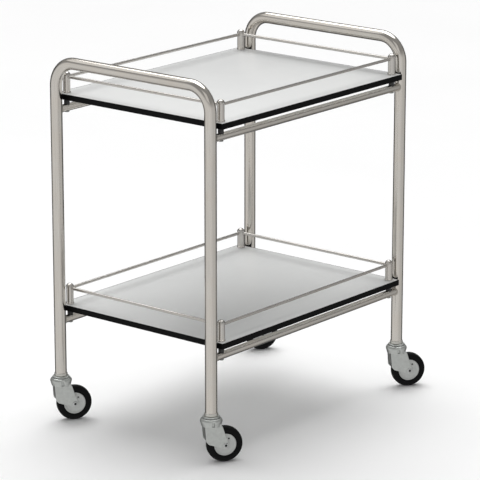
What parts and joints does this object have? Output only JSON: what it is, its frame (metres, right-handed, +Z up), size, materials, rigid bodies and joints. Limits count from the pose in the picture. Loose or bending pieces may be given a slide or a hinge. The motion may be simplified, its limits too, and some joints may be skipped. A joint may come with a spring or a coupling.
{
  "type": "instrument cart",
  "caption": "Veterinary instrument cart: railed white shelves between bent steel tube end frames with push handles, on swivel casters.",
  "frame": {"origin": "on the floor, at the centre of the four legs", "axes": "+X along the long side of the shelves, towards the right end frame; +Y from the front long side to the rear one; +Z up"},
  "size_m": [0.7106, 0.4806, 0.79],
  "materials": {
    "tube_steel": "satin polished round tube, drawn lengthwise",
    "rail_steel": "satin turned steel",
    "shelf_laminate": "white laminate, low sheen",
    "edge_band": "black moulded edging",
    "spacer_plastic": "black moulded saddle bush",
    "socket_steel": "turned steel plug",
    "zinc_fixings": "bright zinc plated",
    "caster_zinc": "dull zinc plated pressing",
    "hub_zinc": "cast light alloy, dull",
    "bearing_steel": "bearing balls",
    "bush_brass": "sintered bronze",
    "tyre_rubber": "black moulded rubber"
  },
  "bodies": {
    "cart": {"left_end_frame": "tube_steel", "right_end_frame": "tube_steel", "upper_front_cross_tube": "tube_steel", "upper_rear_cross_tube": "tube_steel", "lower_front_cross_tube": "tube_steel", "lower_rear_cross_tube": "tube_steel", "upper_shelf_board": "shelf_laminate", "lower_shelf_board": "shelf_laminate", "upper_edge_band": "edge_band", "lower_edge_band": "edge_band", "upper_guard_posts": "rail_steel", "lower_guard_posts": "rail_steel", "upper_front_rod": "rail_steel", "upper_rear_rod": "rail_steel", "upper_left_rod": "rail_steel", "upper_right_rod": "rail_steel", "lower_front_rod": "rail_steel", "lower_rear_rod": "rail_steel", "lower_left_rod": "rail_steel", "lower_right_rod": "rail_steel", "shelf_spacers": "spacer_plastic", "shelf_screws": "zinc_fixings", "front_left_socket": "socket_steel", "front_left_stem": "zinc_fixings", "front_left_swivel_cap": "caster_zinc", "front_right_socket": "socket_steel", "front_right_stem": "zinc_fixings", "front_right_swivel_cap": "caster_zinc", "rear_left_socket": "socket_steel", "rear_left_stem": "zinc_fixings", "rear_left_swivel_cap": "caster_zinc", "rear_right_socket": "socket_steel", "rear_right_stem": "zinc_fixings", "rear_right_swivel_cap": "caster_zinc"},
    "front_left_fork": {"front_left_fork": "caster_zinc", "front_left_ball_ring": "bearing_steel", "front_left_axle": "zinc_fixings", "front_left_axle_bush": "bush_brass"},
    "front_left_wheel": {"front_left_hub": "hub_zinc", "front_left_tyre": "tyre_rubber"},
    "front_right_fork": {"front_right_fork": "caster_zinc", "front_right_ball_ring": "bearing_steel", "front_right_axle": "zinc_fixings", "front_right_axle_bush": "bush_brass"},
    "front_right_wheel": {"front_right_hub": "hub_zinc", "front_right_tyre": "tyre_rubber"},
    "rear_left_fork": {"rear_left_fork": "caster_zinc", "rear_left_ball_ring": "bearing_steel", "rear_left_axle": "zinc_fixings", "rear_left_axle_bush": "bush_brass"},
    "rear_left_wheel": {"rear_left_hub": "hub_zinc", "rear_left_tyre": "tyre_rubber"},
    "rear_right_fork": {"rear_right_fork": "caster_zinc", "rear_right_ball_ring": "bearing_steel", "rear_right_axle": "zinc_fixings", "rear_right_axle_bush": "bush_brass"},
    "rear_right_wheel": {"rear_right_hub": "hub_zinc", "rear_right_tyre": "tyre_rubber"}
  },
  "joints": [
    {"name": "front_left_swivel", "type": "hinge", "parent": "cart", "child": "front_left_fork", "pos_m": [-0.316, -0.207, 0.0915], "axis": [0, 0, 1], "continuous": true},
    {"name": "front_left_spin", "type": "hinge", "parent": "front_left_fork", "child": "front_left_wheel", "pos_m": [-0.29416, -0.22287, 0.0375], "axis": [0.5878, 0.809, 0], "continuous": true},
    {"name": "front_right_swivel", "type": "hinge", "parent": "cart", "child": "front_right_fork", "pos_m": [0.316, -0.207, 0.0915], "axis": [0, 0, 1], "continuous": true},
    {"name": "front_right_spin", "type": "hinge", "parent": "front_right_fork", "child": "front_right_wheel", "pos_m": [0.33784, -0.22287, 0.0375], "axis": [0.5878, 0.809, 0], "continuous": true},
    {"name": "rear_left_swivel", "type": "hinge", "parent": "cart", "child": "rear_left_fork", "pos_m": [-0.316, 0.207, 0.0915], "axis": [0, 0, 1], "continuous": true},
    {"name": "rear_left_spin", "type": "hinge", "parent": "rear_left_fork", "child": "rear_left_wheel", "pos_m": [-0.29416, 0.19113, 0.0375], "axis": [0.5878, 0.809, 0], "continuous": true},
    {"name": "rear_right_swivel", "type": "hinge", "parent": "cart", "child": "rear_right_fork", "pos_m": [0.316, 0.207, 0.0915], "axis": [0, 0, 1], "continuous": true},
    {"name": "rear_right_spin", "type": "hinge", "parent": "rear_right_fork", "child": "rear_right_wheel", "pos_m": [0.33784, 0.19113, 0.0375], "axis": [0.5878, 0.809, 0], "continuous": true}
  ]
}
